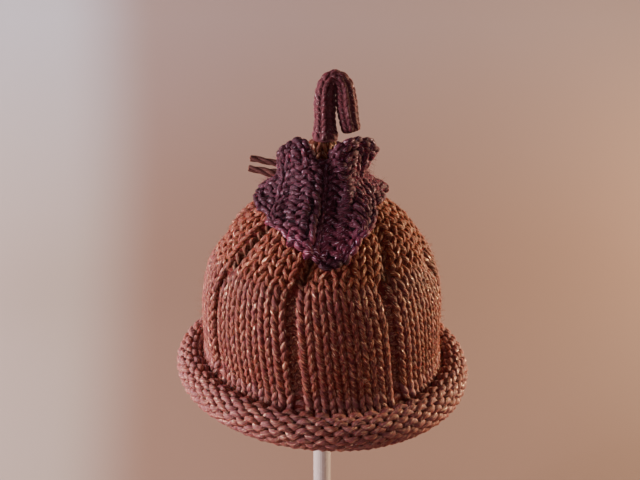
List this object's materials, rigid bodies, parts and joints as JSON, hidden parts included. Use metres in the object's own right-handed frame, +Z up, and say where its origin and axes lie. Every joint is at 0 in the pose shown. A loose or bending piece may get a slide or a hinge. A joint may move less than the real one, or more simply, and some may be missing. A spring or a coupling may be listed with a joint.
{
  "type": "knitted pixie hat on display stand",
  "caption": "Small knitted pixie hat with a rolled brim, a leafy ruff and a hooked knitted stem, held up by a plain post on a round foot.",
  "frame": {"origin": "middle of the stand foot's underside, on the table", "axes": "+Z up along the post and the hat's axis, -Y towards the front where the ruff's long petal hangs, +X to the right of the front"},
  "size_m": [0.176, 0.1763, 0.3321],
  "materials": {
    "rust_knit": "bulky heather yarn in stockinette with fine gold flecks",
    "plum_knit": "bulky dark plum yarn, ribbed and gathered",
    "mauve_knit": "bulky mauve brown yarn, knitted cord",
    "brown_cord": "dark brown knitting yarn",
    "white_plastic": "smooth white"
  },
  "bodies": {
    "root": {"crown": "rust_knit", "neck_ruff": "plum_knit", "stem": "mauve_knit", "neck_tie": "brown_cord", "stand_foot": "white_plastic", "stand_post": "white_plastic", "stand_rest": "white_plastic"}
  },
  "joints": []
}
